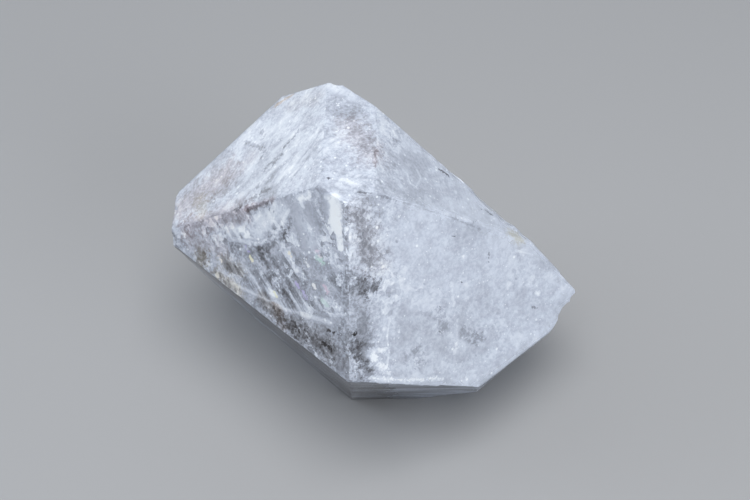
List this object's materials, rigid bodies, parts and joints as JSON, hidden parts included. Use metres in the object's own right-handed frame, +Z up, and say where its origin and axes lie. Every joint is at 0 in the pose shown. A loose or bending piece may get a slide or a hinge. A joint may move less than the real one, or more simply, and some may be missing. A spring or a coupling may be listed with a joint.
{
  "type": "herkimer diamond quartz crystal",
  "caption": "Large double-terminated quartz crystal, partly clear and partly milky, with flat natural faces, a broken left point and chipped rims, lying on one flat face.",
  "frame": {"origin": "on the surface the crystal rests on, under the centre of its bounding box", "axes": "+X along the crystal's long axis towards its whole point, +Z up, -Y the side it is looked at from"},
  "size_m": [0.09, 0.0772, 0.0752],
  "materials": {
    "quartz": "natural crystal faces, clear to milky"
  },
  "bodies": {
    "root": {"crystal": "quartz"}
  },
  "joints": []
}
